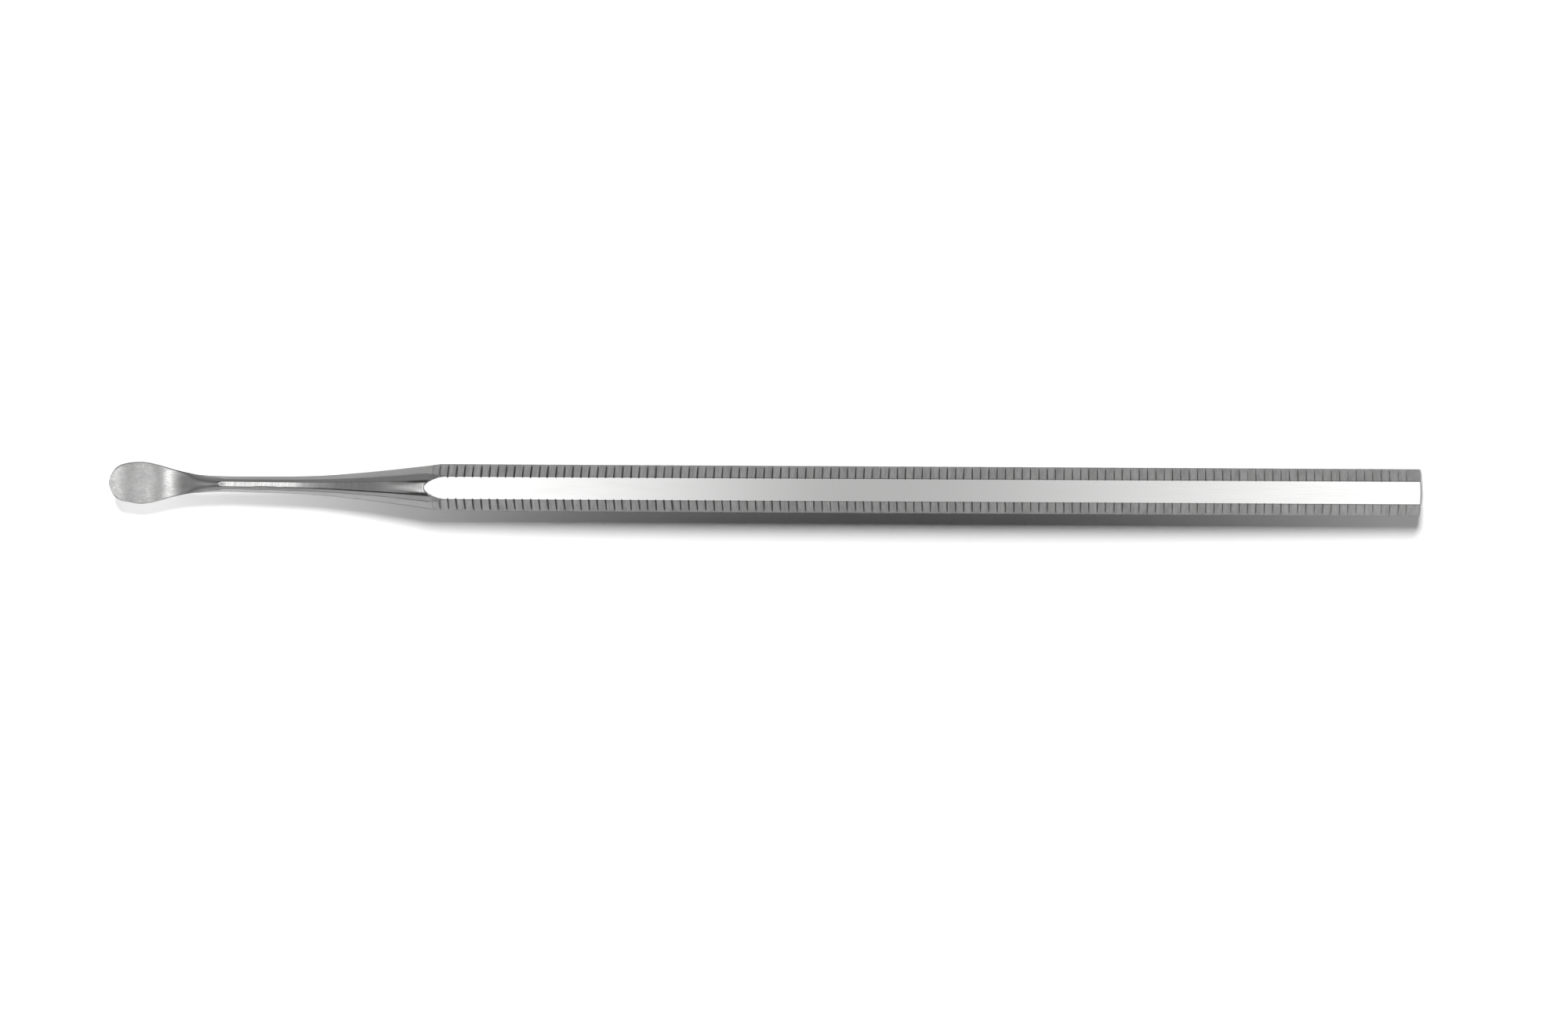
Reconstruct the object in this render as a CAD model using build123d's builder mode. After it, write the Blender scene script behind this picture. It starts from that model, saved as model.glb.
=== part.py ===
from build123d import *
import math
import os

# Periosteal elevator: a rigid steel hand instrument, brazed together from five pieces.
# Row frame, in millimetres: +X runs from the blade's tip to the rear of the handle, +Z is up, and the
# handle's lower flat rests on Z = 0. X = 0 is halfway along, and Y = 0 is the handle's axis.

os.makedirs("parts", exist_ok=True)

# ---- driving dimensions -------------------------------------------------------------------------

overall_length = 160.0
across_flats = 5.0             # stock hexagon
corner_round = 0.25            # radius on the six long corners
seam_from_tip = 39.6           # where the forging's shoulder meets the handle tube
bore_radius = 1.5
braze_gap = 0.10               # radial gap at both joints, filled with braze
tang_length = 14.0
tang_chamfer = 0.4
plug_length = 8.0
end_dome_radius = 13.0
end_edge_round = 0.18
end_edge_reach = 1.0           # the dome's rim lies within this distance of the rear

groove_pitch = 1.0115          # close to twenty-five to the inch
groove_count = 117
first_groove_from_seam = 0.95
groove_depth_front = 0.05      # at the side corner, where each groove is shallowest
groove_depth_rear = 0.01
groove_fall = 0.065            # how much deeper a groove is at the border of the smooth flat
groove_clearance = 0.35        # height of the cutter above the flank

# Shank and taper, before the facets are ground: a slender round shank that opens into a cone, which
# steepens a little before the shoulder. Positions are distances from the tip.
shank_from_tip = 14.5
shank_to_tip = 42.0            # past the seam, where the cone has left the handle's corners
shank_step = 2.5               # spacing of the cross-sections
waist_radius = 0.955
shank_slope = 0.008
cone_slope = 0.102
cone_from_tip = 25.7
cone_blend = 3.3
shoulder_slope = 0.024
shoulder_from_tip = 33.0
shoulder_blend = 2.0
shank_offset = 0.27            # slight sideways set of the hand-finished end, gone at the shoulder

# Six facets ground along the shank and taper.
facet_share = 0.951            # distance to a facet, as a share of the local radius
facet_step = 1.25              # spacing of the cross-sections
facet_full_from_tip = 17.0     # the facets reach their full width here
facet_end_from_tip = 38.7      # from here they open out into the handle's own flats
facet_run_out = 0.10           # growth of the share per millimetre, on the way out

# The blade is a spoon: distance from the tip, sideways offset, half width before the outline is
# ground, and heights above the handle's axis of the hollow's middle, the rim and the back's middle.
blade_stations = [
    (-0.6, 0.38, 3.00, 0.44, 0.54, 0.20),
    (1.0, 0.38, 3.00, 0.13, 0.26, -0.28),
    (3.0, 0.38, 2.95, -0.12, 0.04, -0.64),
    (5.0, 0.38, 2.78, -0.20, -0.04, -0.82),
    (6.8, 0.36, 2.30, -0.11, 0.03, -0.88),
    (8.5, 0.32, 1.75, 0.16, 0.16, -0.89),
    (10.0, 0.29, 1.30, 0.48, 0.22, -0.91),
    (11.8, 0.28, 1.06, 0.83, 0.12, -0.95),
]
back_roundness = 1.5           # 1 is a half round back, more is a thinner edge

# Half of the blade's outline, seen from above: distance from the tip, and half width.
outline_offset = 0.36
outline_points = [
    (0.0, 0.0),
    (0.45, 1.30),
    (1.2, 2.08),
    (2.4, 2.45),
    (3.8, 2.58),
    (5.4, 2.38),
    (7.2, 1.90),
    (9.2, 1.38),
    (11.0, 1.18),
    (13.5, 1.60),
]

# ---- places worked out from them ----------------------------------------------------------------

tip_x = -overall_length / 2
rear_x = overall_length / 2
seam_x = tip_x + seam_from_tip
axis_z = across_flats / 2
corner_distance = axis_z / math.cos(math.radians(30))
flank_width = corner_distance  # a hexagon's side is as long as its corner radius
tang_radius = bore_radius - braze_gap
plug_start_x = rear_x - plug_length
facet_start_x = tip_x + shank_from_tip
blank_end_x = tip_x + shank_to_tip
waste_width = 2 * across_flats
waste_margin = 2.0
handle_axis = Axis((0, 0, axis_z), (1, 0, 0))


# ---- shapes shared by more than one piece -------------------------------------------------------

def across(x, offset_y=0.0, height=0.0):
    """A plane across the instrument at x: its own x is +Y and its own y is +Z."""
    return Plane(origin=(x, offset_y, axis_z + height), x_dir=(0, 1, 0), z_dir=(1, 0, 0))


def stations(step):
    """Distances from the tip of evenly spaced cross-sections, from the shank's start to its end."""
    count = round((shank_to_tip - shank_from_tip) / step)
    return [shank_from_tip + step * index for index in range(count + 1)]


def ramp(distance, blend):
    """Zero before the ramp starts, then the distance past its start, with a smooth change between."""
    return (distance + math.hypot(distance, blend)) / 2


def shank_radius(from_tip):
    cone = cone_slope * ramp(from_tip - cone_from_tip, cone_blend)
    shoulder = shoulder_slope * ramp(from_tip - shoulder_from_tip, shoulder_blend)
    return waist_radius + shank_slope * (from_tip - shank_from_tip) + cone + shoulder


def shank_centre(from_tip):
    """Sideways place of the shank's centre."""
    done = (from_tip - shank_from_tip) / (seam_from_tip - shank_from_tip)
    return shank_offset * max(1.0 - done, 0.0)


def facet_distance(from_tip):
    """Distance from the centre to the facets, which run in from nothing and run out at the handle."""
    run_in = max(facet_full_from_tip - from_tip, 0.0) / (facet_full_from_tip - shank_from_tip)
    share = facet_share + (1.0 - facet_share) * run_in
    share += facet_run_out * max(from_tip - facet_end_from_tip, 0.0)
    return shank_radius(from_tip) * share


def half_section(half_width, rise, power, steps=12):
    """Points of half a cross-section, from one rim to the other, as (sideways, upwards) pairs."""
    angles = [math.pi * step / steps for step in range(steps + 1)]
    return [(half_width * math.cos(a), rise * max(math.sin(a), 0.0) ** power) for a in angles]


def section_face(from_tip, offset_y, half_width, top, rim, back, power):
    """A closed cross-section: the upper curve over the rim, and the back's curve under it."""
    with BuildSketch(across(tip_x + from_tip, offset_y, rim)) as section:
        with BuildLine():
            Spline(*half_section(half_width, top - rim, 1.0))
            Spline(*half_section(half_width, back - rim, power))
        make_face()
    return section.sketch


def hexagon_bar(start_x, end_x):
    """A length of the hexagonal stock, with a flat above and below and its long corners rounded."""
    with BuildPart() as bar:
        with BuildSketch(across(start_x)) as hexagon:
            RegularPolygon(axis_z, 6, major_radius=False)
            fillet(hexagon.vertices(), corner_round)
        extrude(amount=end_x - start_x)
    return bar.part


def domed_bar(radius, start_x):
    """A round bar whose rear end is the shallow dome that closes the instrument."""
    centre_x = rear_x - end_dome_radius
    half_angle = math.asin(radius / end_dome_radius) / 2
    edge_x = centre_x + end_dome_radius * math.cos(2 * half_angle)
    middle = (centre_x + end_dome_radius * math.cos(half_angle), end_dome_radius * math.sin(half_angle))
    with BuildPart() as bar:
        with BuildSketch(Plane(origin=(0, 0, axis_z), x_dir=(1, 0, 0), z_dir=(0, -1, 0))):
            with BuildLine():
                Polyline((rear_x, 0), (start_x, 0), (start_x, radius), (edge_x, radius))
                ThreePointArc((edge_x, radius), middle, (rear_x, 0))
            make_face()
        revolve(axis=handle_axis)
    return bar.part


with BuildPart() as round_blank:
    sections = [section_face(*station, back_roundness) for station in blade_stations]
    for from_tip in stations(shank_step):
        r = shank_radius(from_tip)
        sections.append(section_face(from_tip, shank_centre(from_tip), r, r, 0.0, -r, 1.0))
    loft(sections)

with BuildPart() as facet_cone:
    for from_tip in stations(facet_step):
        with BuildSketch(across(tip_x + from_tip, shank_centre(from_tip))):
            RegularPolygon(facet_distance(from_tip), 6, major_radius=False)
    loft()

# What the grinding takes off the shank and taper, outside the facets and outside the hexagonal stock.
with BuildPart() as ground_away:
    with BuildSketch(across(facet_start_x)):
        Rectangle(waste_width, waste_width)
    extrude(amount=blank_end_x - facet_start_x)
    add(facet_cone.part.intersect(hexagon_bar(facet_start_x, blank_end_x)), mode=Mode.SUBTRACT)

# The same cone runs on past the seam and takes the corners off the handle's front end.
with BuildPart() as shoulder_waste:
    with BuildSketch(across(seam_x)):
        Rectangle(waste_width, waste_width)
    extrude(amount=blank_end_x - seam_x)
    add(round_blank.part, mode=Mode.SUBTRACT)

# What the grinding takes off around the blade's outline.
with BuildPart() as trimmed_away:
    with BuildSketch():
        with Locations((tip_x - waste_margin, 0)):
            Rectangle(outline_points[-1][0] + waste_margin, waste_width, align=(Align.MIN, Align.CENTER))
        with BuildLine():
            near_side = [(tip_x + d, outline_offset - w) for d, w in outline_points]
            far_side = [(tip_x + d, outline_offset + w) for d, w in outline_points]
            Spline(*reversed(near_side[1:]), *far_side)
            Line(far_side[-1], near_side[-1])
        make_face(mode=Mode.SUBTRACT)
    extrude(amount=waste_width)

# V cutters for one flank, mirrored to the other three. Each is a right-angled V that slopes down
# from the side corner to the border of the smooth flat.
with BuildPart() as groove_cutters:
    fall_angle = math.atan(groove_fall / flank_width)
    along_flank = Vector(0, -0.5, math.sqrt(0.75)).rotate(Axis.X, math.degrees(fall_angle))
    side_corner = Vector(0, corner_distance, axis_z)
    with BuildSketch(Plane(origin=side_corner, x_dir=(1, 0, 0), z_dir=along_flank)):
        for index in range(groove_count):
            x = seam_x + first_groove_from_seam + index * groove_pitch
            depth = groove_depth_front + (groove_depth_rear - groove_depth_front) * index / groove_count
            half_width = depth + groove_clearance
            with Locations((x, 0)):
                Polygon((0, -depth), (half_width, groove_clearance), (-half_width, groove_clearance), align=None)
    extrude(amount=flank_width + groove_clearance)
    mirror(about=Plane.XY.offset(axis_z))

# ---- pieces -------------------------------------------------------------------------------------

with BuildPart() as working_end:
    add(round_blank.part)
    add(ground_away.part, mode=Mode.SUBTRACT)
    add(trimmed_away.part, mode=Mode.SUBTRACT)
    split(bisect_by=across(seam_x), keep=Keep.BOTTOM)
    with BuildSketch(across(seam_x)):
        Circle(tang_radius)
    extrude(amount=tang_length)
    chamfer(working_end.edges().group_by(Axis.X)[-1], tang_chamfer)
working_end.part.label = "working_end"
export_step(working_end.part, "parts/working_end.step")

with BuildPart() as handle:
    add(hexagon_bar(seam_x, rear_x))
    add(domed_bar(corner_distance, seam_x), mode=Mode.INTERSECT)
    fillet(handle.edges().filter_by_position(Axis.X, rear_x - end_edge_reach, rear_x), end_edge_round)
    add(shoulder_waste.part, mode=Mode.SUBTRACT)
    with BuildSketch(across(seam_x)):
        Circle(bore_radius)
    extrude(amount=overall_length, mode=Mode.SUBTRACT)
    add(groove_cutters.part, mode=Mode.SUBTRACT)
    mirror(groove_cutters.part, about=Plane.XZ, mode=Mode.SUBTRACT)
handle.part.label = "handle"
export_step(handle.part, "parts/handle.step")

with BuildPart() as tang_braze:
    with BuildSketch(across(seam_x)):
        Circle(bore_radius)
        Circle(tang_radius, mode=Mode.SUBTRACT)
    extrude(amount=tang_length - tang_chamfer)
tang_braze.part.label = "tang_braze"
export_step(tang_braze.part, "parts/tang_braze.step")

with BuildPart() as end_plug:
    add(domed_bar(tang_radius, plug_start_x))
    chamfer(end_plug.edges().group_by(Axis.X)[0], tang_chamfer)
end_plug.part.label = "end_plug"
export_step(end_plug.part, "parts/end_plug.step")

with BuildPart() as plug_braze:
    add(domed_bar(bore_radius, plug_start_x + tang_chamfer))
    with BuildSketch(across(seam_x)):
        Circle(tang_radius)
    extrude(amount=overall_length, mode=Mode.SUBTRACT)
plug_braze.part.label = "plug_braze"
export_step(plug_braze.part, "parts/plug_braze.step")
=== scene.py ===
import math

import bmesh
import bpy
import numpy as np
from mathutils import Matrix, Vector


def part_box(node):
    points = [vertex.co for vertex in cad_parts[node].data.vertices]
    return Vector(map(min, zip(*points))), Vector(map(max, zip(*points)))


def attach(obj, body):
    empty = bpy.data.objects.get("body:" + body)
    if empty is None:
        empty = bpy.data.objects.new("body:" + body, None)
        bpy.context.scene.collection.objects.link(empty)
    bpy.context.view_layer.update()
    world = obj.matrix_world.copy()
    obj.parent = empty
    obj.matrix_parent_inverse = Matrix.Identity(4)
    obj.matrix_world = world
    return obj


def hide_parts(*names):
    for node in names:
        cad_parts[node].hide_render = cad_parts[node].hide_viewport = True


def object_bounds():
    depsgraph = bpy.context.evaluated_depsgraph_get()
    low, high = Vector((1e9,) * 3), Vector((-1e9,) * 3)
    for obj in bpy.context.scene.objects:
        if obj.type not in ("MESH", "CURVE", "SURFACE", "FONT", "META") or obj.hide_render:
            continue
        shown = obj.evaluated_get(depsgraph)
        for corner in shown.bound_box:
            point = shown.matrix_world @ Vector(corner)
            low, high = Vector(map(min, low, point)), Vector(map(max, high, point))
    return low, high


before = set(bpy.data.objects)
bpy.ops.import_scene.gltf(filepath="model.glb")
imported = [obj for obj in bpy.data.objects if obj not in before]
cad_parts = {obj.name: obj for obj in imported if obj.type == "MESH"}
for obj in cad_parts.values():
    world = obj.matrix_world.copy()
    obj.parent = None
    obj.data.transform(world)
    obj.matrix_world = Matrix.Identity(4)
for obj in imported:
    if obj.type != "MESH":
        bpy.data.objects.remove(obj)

# A periosteal elevator: spoon blade, shank and taper in ground steel, a grooved hexagonal handle and a
# plug that closes its rear end. Shapes are worked out in millimetres and stored in metres.

MM = 0.001
RNG = np.random.default_rng(20240)

cad_bounds = [list(corner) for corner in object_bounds()]


def box_mm(node):
    low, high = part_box(node)
    return np.array(low) / MM, np.array(high) / MM


# ---- sizes read from the CAD frame ----------------------------------------------------------------

body_low, body_high = (np.array(corner) / MM for corner in cad_bounds)
handle_low, handle_high = box_mm("handle")
_, working_high = box_mm("working_end")
plug_low, plug_high = box_mm("end_plug")
braze_low, braze_high = box_mm("tang_braze")

TIP_X = body_low[0]
REAR_X = body_high[0]
SEAM_X = handle_low[0]
TANG_END_X = working_high[0]
FLAT_DISTANCE = (handle_high[2] - handle_low[2]) / 2      # from the axis to each flat
AXIS_Z = (handle_high[2] + handle_low[2]) / 2
BORE_RADIUS = (braze_high[1] - braze_low[1]) / 2
PLUG_RADIUS = (plug_high[1] - plug_low[1]) / 2
TANG_RADIUS = PLUG_RADIUS
PLUG_START_X = plug_low[0]
SEAM_FROM_TIP = SEAM_X - TIP_X

# ---- finer shape, the same as in the CAD -------------------------------------------------------------

SIDE_ROUND = 0.25              # the two long corners at the sides
BORDER_ROUND = 0.18            # the four long corners that border the smooth flats
BORDER_REACH = FLAT_DISTANCE * math.tan(math.pi / 6) - BORDER_ROUND * math.tan(math.pi / 6)
END_DOME_RADIUS = 13.0
END_EDGE_ROUND = 0.18
TANG_CHAMFER = 0.4             # at the tang's end and at the plug's front
SEAM_RELIEF = 0.996            # the side faces are scaled by this at the seam, so that it shows as a line
SEAM_RELIEF_BELOW = 0.002      # points this far below the smooth flats are on the side faces
SEAM_RELIEF_LENGTH = 0.03      # of the working end's side faces
SHARP_ABOVE = 32               # degrees between two faces, above which their edge is shaded as sharp

GROOVE_PITCH = 1.0115
GROOVE_COUNT = 117
FIRST_GROOVE_FROM_SEAM = 0.95

SHANK_FROM_TIP = 14.5
WAIST_RADIUS = 0.955
SHANK_SLOPE = 0.008
CONE_SLOPE = 0.102
CONE_FROM_TIP = 25.7
CONE_BLEND = 3.3
SHOULDER_SLOPE = 0.024
SHOULDER_FROM_TIP = 33.0
SHOULDER_BLEND = 2.0
SHANK_OFFSET = 0.27            # sideways set of the shank's start, which is back on the axis at the seam
BLANK_END_FROM_TIP = 43.0
BLANK_STEP = 2.5               # between the shank's cross-sections

# The blade: distance from the tip, sideways offset, half width before the outline is ground, and
# heights above the axis of the hollow's middle, the rim and the back's middle.
BLADE_STATIONS = [
    (-0.6, 0.38, 3.00, 0.44, 0.54, 0.20),
    (1.0, 0.38, 3.00, 0.13, 0.26, -0.28),
    (3.0, 0.38, 2.95, -0.12, 0.04, -0.64),
    (5.0, 0.38, 2.78, -0.20, -0.04, -0.82),
    (6.8, 0.36, 2.30, -0.11, 0.03, -0.88),
    (8.5, 0.32, 1.75, 0.16, 0.16, -0.89),
    (10.0, 0.29, 1.30, 0.48, 0.22, -0.91),
    (11.8, 0.28, 1.06, 0.83, 0.12, -0.95),
]
BACK_ROUNDNESS = 1.5
# The blade's outline in plan: distance from the tip and half width, about a line set sideways.
OUTLINE_OFFSET = 0.36
OUTLINE_POINTS = [
    (0.0, 0.0), (0.45, 1.30), (1.2, 2.08), (2.4, 2.45), (3.8, 2.58),
    (5.4, 2.38), (7.2, 1.90), (9.2, 1.38), (11.0, 1.18), (13.5, 1.60),
]
OUTLINE_END_FROM_TIP = 12.5    # from here on the blank's own width counts
UNCUT_HALF_WIDTH = 9.0         # wider than the blank, so that it cuts nothing
FLAT_CUT_DEPTH = 0.085         # a shallow flat on the blade's -Y edge
FLAT_CUT_FROM_TIP = 1.25
FLAT_CUT_LENGTH = 2.3
BEVEL_DEPTH = 0.07             # the fine bevel round the blade's upper edge
BEVEL_WIDTH = 0.16
BEVEL_RUNS_OUT = (7.0, 10.5)   # distances from the tip


# ---- small numerical helpers ------------------------------------------------------------------------

def smooth(value, start, end):
    """0 before start, 1 after end, and a smooth change between."""
    t = np.clip((value - start) / (end - start), 0.0, 1.0)
    return t * t * (3 - 2 * t)


def soft_min(a, b, width):
    """The smaller of the two, with the corner between them rounded."""
    return (a + b - np.sqrt((a - b) ** 2 + width ** 2)) / 2


def ramp(distance, blend):
    """0 well before the start, distance well after it, and a smooth bend between."""
    return (distance + np.hypot(distance, blend)) / 2


def spline(xs, ys):
    """A natural cubic spline through the points, as a function."""
    xs, ys = np.asarray(xs, float), np.asarray(ys, float)
    count, gaps = len(xs), np.diff(xs)
    system, target = np.eye(count), np.zeros(count)
    for i in range(1, count - 1):
        system[i, i - 1:i + 2] = gaps[i - 1], 2 * (gaps[i - 1] + gaps[i]), gaps[i]
        target[i] = 6 * ((ys[i + 1] - ys[i]) / gaps[i] - (ys[i] - ys[i - 1]) / gaps[i - 1])
    bend = np.linalg.solve(system, target)

    def value(x):
        x = np.asarray(x, float)
        i = np.clip(np.searchsorted(xs, x) - 1, 0, count - 2)
        gap, left, right = gaps[i], xs[i + 1] - x, x - xs[i]
        curve = (bend[i] * left ** 3 + bend[i + 1] * right ** 3) / (6 * gap)
        line = (ys[i] / gap - bend[i] * gap / 6) * left + (ys[i + 1] / gap - bend[i + 1] * gap / 6) * right
        return curve + line

    return value


# ---- the working end ----------------------------------------------------------------------------------

def shank_radius(from_tip):
    cone = CONE_SLOPE * ramp(from_tip - CONE_FROM_TIP, CONE_BLEND)
    shoulder = SHOULDER_SLOPE * ramp(from_tip - SHOULDER_FROM_TIP, SHOULDER_BLEND)
    return WAIST_RADIUS + SHANK_SLOPE * (from_tip - SHANK_FROM_TIP) + cone + shoulder


def shank_centre(from_tip):
    done = (from_tip - SHANK_FROM_TIP) / (SEAM_FROM_TIP - SHANK_FROM_TIP)
    return SHANK_OFFSET * max(1.0 - done, 0.0)


def blank_stations():
    """The cross-sections of the blank, blade and shank together, for interpolation."""
    rows = [list(row) + [BACK_ROUNDNESS] for row in BLADE_STATIONS]
    for from_tip in np.arange(SHANK_FROM_TIP, BLANK_END_FROM_TIP, BLANK_STEP):
        radius = shank_radius(from_tip)
        rows.append([from_tip, shank_centre(from_tip), radius, radius, 0.0, -radius, 1.0])
    return np.array(rows)


BLANK = blank_stations()
BLANK_AT = [spline(BLANK[:, 0], BLANK[:, column]) for column in range(1, 7)]


def outline_curve():
    """Distance from the tip and half width along the outline, as functions of the length along it."""
    points = np.array([(from_tip, -half) for from_tip, half in OUTLINE_POINTS[:0:-1]] + OUTLINE_POINTS)
    steps = np.hypot(*np.diff(points, axis=0).T)
    along = np.concatenate([[0.0], np.cumsum(steps)])
    along -= along[len(OUTLINE_POINTS) - 1]
    return spline(along, points[:, 0]), spline(along, points[:, 1])


def hexagon_distance(angle):
    """Distance from the handle's axis to its surface, corners rounded, in the direction angle."""
    from_corner = np.abs((angle + math.pi / 6) % (math.pi / 3) - math.pi / 6)
    flat = FLAT_DISTANCE / np.cos(math.pi / 6 - from_corner)
    corner_round = np.where(np.abs(np.cos(angle)) > 0.9, SIDE_ROUND, BORDER_ROUND)
    centre = (FLAT_DISTANCE - corner_round) / math.cos(math.pi / 6)
    inside = np.clip(corner_round ** 2 - (centre * np.sin(from_corner)) ** 2, 0, None)
    rounded = centre * np.cos(from_corner) + np.sqrt(inside)
    tangent = np.arctan2(corner_round / 2, centre + corner_round * math.cos(math.pi / 6))
    return np.where(from_corner < tangent, rounded, flat)


FACET_HALF_DEGREES = 18        # half the turn that a facet takes up on the shank
FACET_SHARE = math.cos(math.radians(FACET_HALF_DEGREES))     # its distance from the axis, by the radius
FACET_REACH = 1.2              # radians from a facet's middle, past which it can't cut
FACETS_START = (13.2, 14.4)    # distances from the tip over which the facets run in
TOP_FACET_ROUND = 0.002        # softness of the facets' borders, as a share of the radius
FACET_ROUND = 0.05
CREASE_DEPTH = 0.13            # a narrow cut along the upper facet's -Y border
CREASE_HALF_WIDTH = 0.10
CREASE_FROM_TIP = [15.0, 27.0, 39.5]
CREASE_DEGREES = [104.5, 106.8, 111.5]       # its place about the shank's axis at those distances
CREASE_RUNS_OUT = (38.9, 39.5)
ARCH_STEP = 0.035              # the ground cone sits this much below the edge of the handle's smooth flat
ARCH_STEP_WIDTH = 0.025
ARCH_FROM_TIP = 38.7           # the nose of the smooth flat's arched end
ARCH_RUN_IN = (34.0, 38.2)     # distances from the tip over which the top facet turns into the arch
ARCH_FADE_DEGREES = (30, 48)   # from the middle of a smooth flat
STEP_FROM_TIP = 24.0           # the step grows from here to the arch's nose
CONE_GONE_FROM_TIP = 42.6      # behind this the cone cuts nothing off the hexagon

# Where the working end's rings lie: in even steps along the outline round the tip, and behind that at
# these spacings, each up to its distance from the tip.
FIRST_RING_ALONG = 0.004
OUTLINE_STEPS = (0.03, 7.2, 0.06)
RING_SPACINGS = [(15.0, 0.12), (36.0, 0.3), (ARCH_RUN_IN[1], 0.08), (SEAM_FROM_TIP, 0.03)]


def arch_length(half_width):
    """How far behind its nose the arch is this wide."""
    return half_width ** 2 + 0.06 * half_width ** 6


def crease_angle(from_tip):
    """Where the crease runs, as an angle about the shank's axis."""
    return np.radians(np.interp(from_tip, CREASE_FROM_TIP, CREASE_DEGREES))


def ring_angles(from_tip, crease_half_angle):
    """Angles of a ring's points, closest together across the crease and over the upper facet."""
    crease = float(crease_angle(from_tip))
    cut = crease + crease_half_angle * np.array([-1.6, -1.0, -0.6, -0.2, 0.2, 0.6, 1.0, 1.6])
    spans = (                                                # start, end and how many points
        (-math.pi / 6, 0.95, 24), (0.95, cut[0], 78), (cut[-1], 2.25, 32),
        (2.25, 4.0, 34), (4.0, 5.4, 44), (5.4, 11 * math.pi / 6, 6),
    )
    parts = [np.linspace(start, end, count, endpoint=False) for start, end, count in spans]
    return np.concatenate(parts[:2] + [cut[:-1]] + parts[2:])


def facet_factor(angle, from_tip):
    """How much of the round radius is left in the direction angle once the facets are ground."""
    angle = angle % (2 * math.pi)
    factor = np.ones_like(angle)
    for index in range(6):
        away = (angle - math.pi / 2 - index * math.pi / 3 + math.pi) % (2 * math.pi) - math.pi
        facet = FACET_SHARE / np.cos(np.clip(away, -FACET_REACH, FACET_REACH))
        facet = np.where(np.abs(away) < FACET_REACH, facet, 2.0)
        factor = soft_min(factor, facet, TOP_FACET_ROUND if index == 0 else FACET_ROUND)
    beside = np.abs(math.pi / 2 - (angle % math.pi))       # from the middle of a smooth flat
    inside = np.minimum(beside, math.pi / 6)
    arch_from_tip = ARCH_FROM_TIP + arch_length(FLAT_DISTANCE * np.tan(inside))
    arch = FLAT_DISTANCE / np.cos(inside) / shank_radius(arch_from_tip)
    near_arch = smooth(from_tip, *ARCH_RUN_IN) * (1 - smooth(np.degrees(beside), *ARCH_FADE_DEGREES))
    factor = factor + (arch - factor) * near_arch
    return 1.0 + (factor - 1.0) * smooth(from_tip, *FACETS_START)


def crease_cut(angle, from_tip, radius):
    """Depth of the crease, in millimetres, in the direction angle."""
    from_middle = np.abs(angle - crease_angle(from_tip)) * radius
    strength = smooth(from_tip, *CREASE_FROM_TIP[:2]) * (1 - smooth(from_tip, *CREASE_RUNS_OUT))
    return CREASE_DEPTH * strength * np.clip(1 - from_middle / CREASE_HALF_WIDTH, 0, 1)


def section(from_tip, half_plus, half_minus, angles):
    """Points (y, z) of one cross-section of the working end, from the handle's axis, in millimetres."""
    offset, blank_half, top, rim, back, power = (float(f(from_tip)) for f in BLANK_AT)
    cosine, sine = np.cos(angles), np.sin(angles)
    side = np.where(cosine >= 0, np.minimum(half_plus, blank_half), np.minimum(half_minus, blank_half))
    across = side * cosine
    lift = np.sqrt(np.clip(1 - (across / blank_half) ** 2, 0, 1))
    upper = rim + (top - rim) * lift
    lower = rim + (back - rim) * lift ** power
    y, z = across, np.where(sine >= 0, upper, lower)
    if from_tip < BEVEL_RUNS_OUT[1]:
        edge = np.minimum(side - np.abs(across), 1.0)
        bevel = BEVEL_DEPTH * smooth(1 - edge / BEVEL_WIDTH, 0, 1) * (1 - smooth(from_tip, *BEVEL_RUNS_OUT))
        z = np.where(sine >= 0, z - bevel, z)
    if from_tip > FACETS_START[0]:
        factor = facet_factor(angles, from_tip)
        factor = factor - crease_cut(angles, from_tip, blank_half) / blank_half
        y, z = y * factor, z * factor
    y = y + offset
    if from_tip > STEP_FROM_TIP:
        distance, direction = np.hypot(y, z), np.arctan2(z, y)
        limit = hexagon_distance(direction)
        strength = smooth(from_tip, STEP_FROM_TIP, ARCH_RUN_IN[1])
        step = ARCH_STEP * strength * smooth(limit - distance, 0.0, ARCH_STEP_WIDTH)
        towards_flats = smooth(np.abs(np.sin(direction)), 0.8, 0.9)
        ground = distance - step * towards_flats
        scale = np.minimum(ground, limit) / distance
        y, z = y * scale, z * scale
    return y, z


def grid_faces(rings, points):
    """Quads between neighbouring rings of a closed tube."""
    faces = []
    for ring in range(rings - 1):
        low, high = ring * points, (ring + 1) * points
        for point in range(points):
            after = (point + 1) % points
            faces.append((low + point, high + point, high + after, low + after))
    return faces


def make_mesh(name, vertices, faces):
    """A piece of the model from vertices in millimetres."""
    mesh = bpy.data.meshes.new(name)
    mesh.from_pydata([tuple(v) for v in np.asarray(vertices) * MM], [], faces)
    work = bmesh.new()
    work.from_mesh(mesh)
    bmesh.ops.recalc_face_normals(work, faces=work.faces)
    work.to_mesh(mesh)
    work.free()
    mesh.shade_smooth()
    mesh.set_sharp_from_angle(angle=math.radians(SHARP_ABOVE))
    piece = bpy.data.objects.new(name, mesh)
    bpy.context.scene.collection.objects.link(piece)
    return piece


def ring_at(x, y, z):
    return np.column_stack([np.full_like(y, x), y, z + AXIS_Z])


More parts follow.
